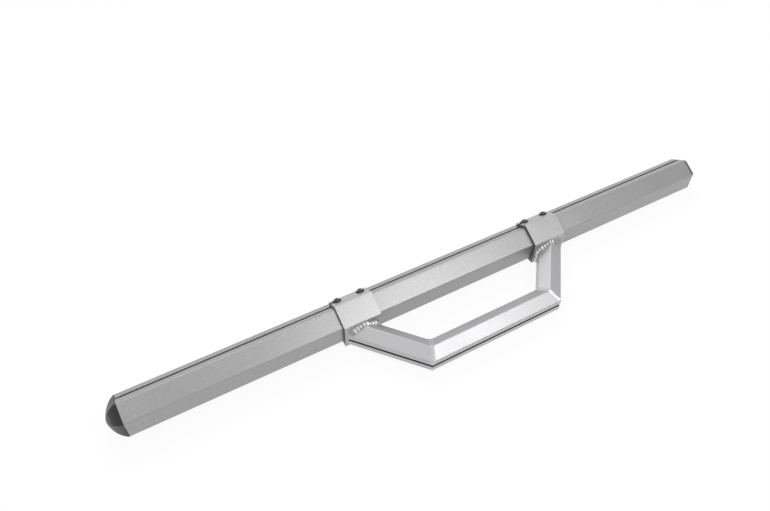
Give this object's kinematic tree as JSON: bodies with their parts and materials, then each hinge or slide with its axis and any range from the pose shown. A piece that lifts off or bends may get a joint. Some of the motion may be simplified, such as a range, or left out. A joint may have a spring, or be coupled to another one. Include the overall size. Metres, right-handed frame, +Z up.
{
  "type": "side step bar",
  "caption": "Hexagonal aluminium side step bar with a T-slot, domed plastic end caps and a welded drop step clamped to the slot by two bolted brackets.",
  "frame": {"origin": "in the mouth of the bar's T-slot, half way along the bar", "axes": "+X along the bar, -Y towards the drop step, +Z up as the bar lies on the ground"},
  "size_m": [2.08, 0.3086, 0.1283],
  "materials": {
    "silver_coat": "satin silver powder coat on aluminium extrusion",
    "coated_weld": "silver powder coat over aluminium weld beads",
    "black_plastic": "black moulded plastic, fine grain",
    "black_steel": "black zinc-plated steel",
    "zinc_steel": "clear zinc-plated steel"
  },
  "bodies": {
    "bar": {"main_bar": "silver_coat", "end_cap_left": "black_plastic", "end_cap_right": "black_plastic"},
    "drop_step": {"step_leg_left": "silver_coat", "step_leg_right": "silver_coat", "step_tread": "silver_coat", "clamp_bracket_left": "silver_coat", "clamp_bracket_right": "silver_coat", "weld_bracket_left": "coated_weld", "weld_bracket_right": "coated_weld", "weld_corner_left": "coated_weld", "weld_corner_right": "coated_weld", "clamp_bolt_1": "black_steel", "clamp_washer_1": "black_steel", "t_nut_1": "zinc_steel", "clamp_bolt_2": "black_steel", "clamp_washer_2": "black_steel", "t_nut_2": "zinc_steel", "clamp_bolt_3": "black_steel", "clamp_washer_3": "black_steel", "t_nut_3": "zinc_steel", "clamp_bolt_4": "black_steel", "clamp_washer_4": "black_steel", "t_nut_4": "zinc_steel"}
  },
  "joints": [
    {"name": "step_slide", "type": "slide", "parent": "bar", "child": "drop_step", "axis": [1, 0, 0], "range_m": [-0.61, 0.585]}
  ]
}
